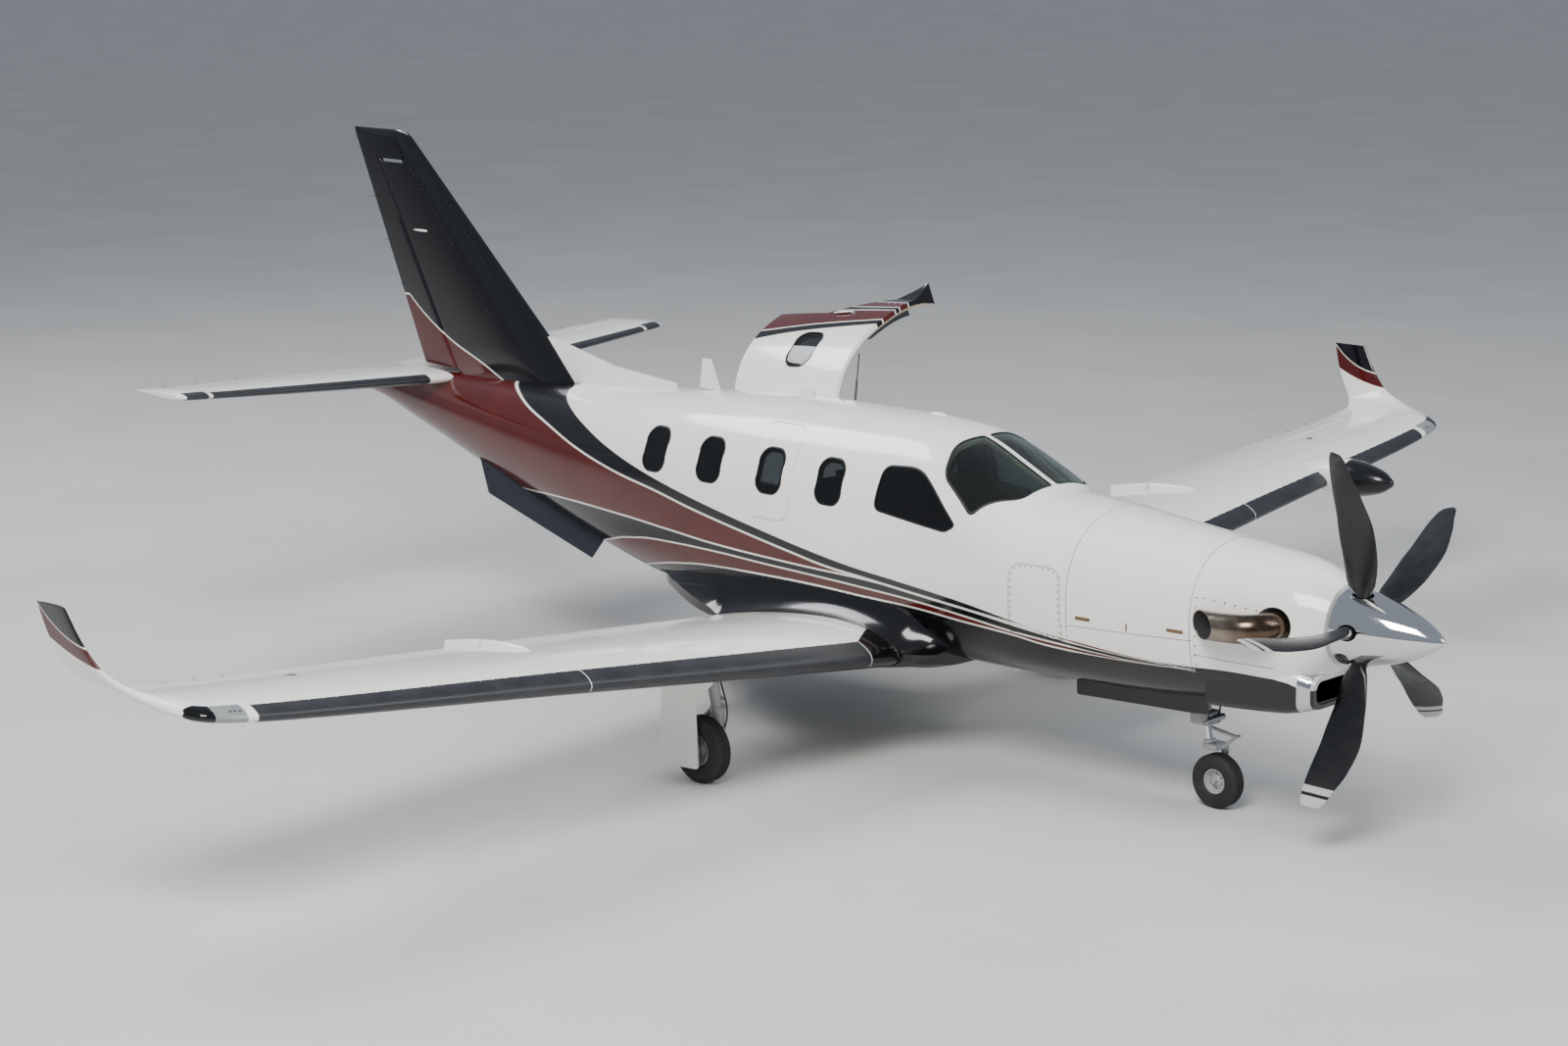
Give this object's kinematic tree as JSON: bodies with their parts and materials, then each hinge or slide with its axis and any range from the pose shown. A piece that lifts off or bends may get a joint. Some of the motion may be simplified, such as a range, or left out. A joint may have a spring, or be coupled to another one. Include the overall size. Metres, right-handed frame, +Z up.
{
  "type": "light aircraft",
  "caption": "Single-engine turboprop light aircraft with low wings, winglets, retractable tricycle gear and an upward-opening cabin door.",
  "frame": {"origin": "on the ground under the middle of the aircraft's box, between the spinner's tip and the tail cone's end", "axes": "+X towards the nose, +Y towards the left (port) wing tip, +Z up"},
  "size_m": [10.745, 12.8206, 3.96],
  "materials": {
    "white_paint": "gloss",
    "black_paint": "gloss",
    "maroon_paint": "gloss",
    "glass": "gloss",
    "chrome": "polished",
    "steel": "satin",
    "engine": "satin",
    "blade_paint": "matte",
    "tyre": "matte",
    "alloy": "satin",
    "gear_paint": "satin",
    "leather": "satin",
    "panel": "matte"
  },
  "bodies": {
    "airframe": {"wing_right": "white_paint", "wing_left": "white_paint", "fuselage_cabin": "white_paint", "windshield_left": "glass", "cockpit_window_left": "glass", "windshield_right": "glass", "cockpit_window_right": "glass", "cabin_window_right_1": "glass", "cabin_window_right_2": "glass", "cabin_window_left_3": "glass", "cabin_window_right_4": "glass", "cabin_window_left_4": "glass", "escape_hatch": "white_paint", "escape_hatch_window": "glass", "engine_cowl": "white_paint", "engine_block": "engine", "exhaust_right": "steel", "exhaust_left": "steel", "tailplane_left": "white_paint", "tailplane_right": "white_paint", "rear_fuselage": "maroon_paint", "fin": "black_paint", "instrument_panel": "panel", "pilot_seat": "leather", "copilot_seat": "leather", "cabin_seat_left": "leather", "cabin_seat_right": "leather", "aft_bench": "leather", "entry_steps": "alloy", "main_leg_left": "gear_paint", "main_leg_right": "gear_paint", "main_gear_door_left": "white_paint", "main_gear_door_right": "white_paint", "nose_leg": "gear_paint", "nose_gear_door_left": "black_paint", "nose_gear_door_right": "black_paint"},
    "propeller": {"spinner": "chrome", "propeller_blade_1": "blade_paint", "propeller_blade_2": "blade_paint", "propeller_blade_3": "blade_paint", "propeller_blade_4": "blade_paint", "propeller_blade_5": "blade_paint"},
    "nose_steering": {"nose_fork": "gear_paint"},
    "nose_wheel": {"nose_tyre": "tyre", "nose_rim": "alloy"},
    "main_wheel_right": {"main_right_tyre": "tyre", "main_right_rim": "alloy"},
    "main_wheel_left": {"main_left_tyre": "tyre", "main_left_rim": "alloy"},
    "door": {"entry_door": "white_paint", "entry_door_window": "glass"},
    "stay_cylinder": {"door_stay_cylinder": "black_paint"},
    "stay_rod": {"door_stay_rod": "chrome"},
    "rudder": {"rudder": "black_paint"},
    "elevator_left": {"elevator_left": "white_paint"},
    "elevator_right": {"elevator_right": "white_paint"},
    "aileron_left": {"aileron_left": "white_paint"},
    "aileron_right": {"aileron_right": "white_paint"},
    "flap_left": {"flap_left": "white_paint"},
    "flap_right": {"flap_right": "white_paint"}
  },
  "joints": [
    {"name": "propeller_spin", "type": "hinge", "parent": "airframe", "child": "propeller", "pos_m": [4.8125, 0, 1.386], "axis": [1, 0, 0], "continuous": true},
    {"name": "nose_steer", "type": "hinge", "parent": "airframe", "child": "nose_steering", "pos_m": [3.6157, 0, 0.4], "axis": [-0.1961, 0, 0.9806], "range_deg": [-28, 28]},
    {"name": "nose_wheel_spin", "type": "hinge", "parent": "nose_steering", "child": "nose_wheel", "pos_m": [3.6775, 0, 0.181], "axis": [0, 1, 0], "continuous": true},
    {"name": "main_wheel_right_spin", "type": "hinge", "parent": "airframe", "child": "main_wheel_right", "pos_m": [0.7875, -1.885, 0.229], "axis": [0, 1, 0], "continuous": true},
    {"name": "main_wheel_left_spin", "type": "hinge", "parent": "airframe", "child": "main_wheel_left", "pos_m": [0.7875, 1.885, 0.229], "axis": [0, 1, 0], "continuous": true},
    {"name": "entry_door_hinge", "type": "hinge", "parent": "airframe", "child": "door", "pos_m": [-0.66, 0.35, 2.18], "axis": [0.9992, 0, 0.0405], "range_deg": [-110.5, 0]},
    {"name": "stay_pivot", "type": "hinge", "parent": "airframe", "child": "stay_cylinder", "pos_m": [-0.16295, 0.446, 0.985], "axis": [1, 0, 0], "range_deg": [0, 0.685]},
    {"name": "stay_slide", "type": "slide", "parent": "stay_cylinder", "child": "stay_rod", "axis": [0, 0.1352, 0.9908], "range_m": [-0.7362, 0]},
    {"name": "rudder_hinge", "type": "hinge", "parent": "airframe", "child": "rudder", "pos_m": [-4.0225, 0, 2.1], "axis": [-0.505, 0, 0.8631], "range_deg": [-25, 25]},
    {"name": "elevator_left_hinge", "type": "hinge", "parent": "airframe", "child": "elevator_left", "pos_m": [-4.66453, 0.372, 2.02193], "axis": [-0.0259, 0.9986, 0.0456], "range_deg": [-15, 22]},
    {"name": "elevator_right_hinge", "type": "hinge", "parent": "airframe", "child": "elevator_right", "pos_m": [-4.71289, -2.24, 2.10724], "axis": [0.0259, 0.9986, -0.0456], "range_deg": [-15, 22]},
    {"name": "aileron_left_hinge", "type": "hinge", "parent": "airframe", "child": "aileron_left", "pos_m": [0.4436, 4.985, 1.26642], "axis": [0.0627, 0.9912, 0.1169], "range_deg": [-14, 16]},
    {"name": "aileron_right_hinge", "type": "hinge", "parent": "airframe", "child": "aileron_right", "pos_m": [0.4977, -5.84, 1.36728], "axis": [-0.0627, 0.9912, -0.1169], "range_deg": [-16, 14]},
    {"name": "flap_left_hinge", "type": "hinge", "parent": "airframe", "child": "flap_left", "pos_m": [0.21748, 0.83, 0.72498], "axis": [0.0595, 0.9912, 0.118], "range_deg": [-34, 0]},
    {"name": "flap_right_hinge", "type": "hinge", "parent": "airframe", "child": "flap_right", "pos_m": [0.46138, -4.89, 1.20831], "axis": [-0.0595, 0.9912, -0.118], "range_deg": [-34, 0]}
  ],
  "couplings": [
    {"joint": "stay_pivot", "follows": "entry_door_hinge", "ratio": -0.005747},
    {"joint": "stay_slide", "follows": "entry_door_hinge", "m_per_rad": 0.38069},
    {"joint": "elevator_right_hinge", "follows": "elevator_left_hinge", "ratio": 1},
    {"joint": "aileron_right_hinge", "follows": "aileron_left_hinge", "ratio": -1},
    {"joint": "flap_right_hinge", "follows": "flap_left_hinge", "ratio": 1}
  ]
}
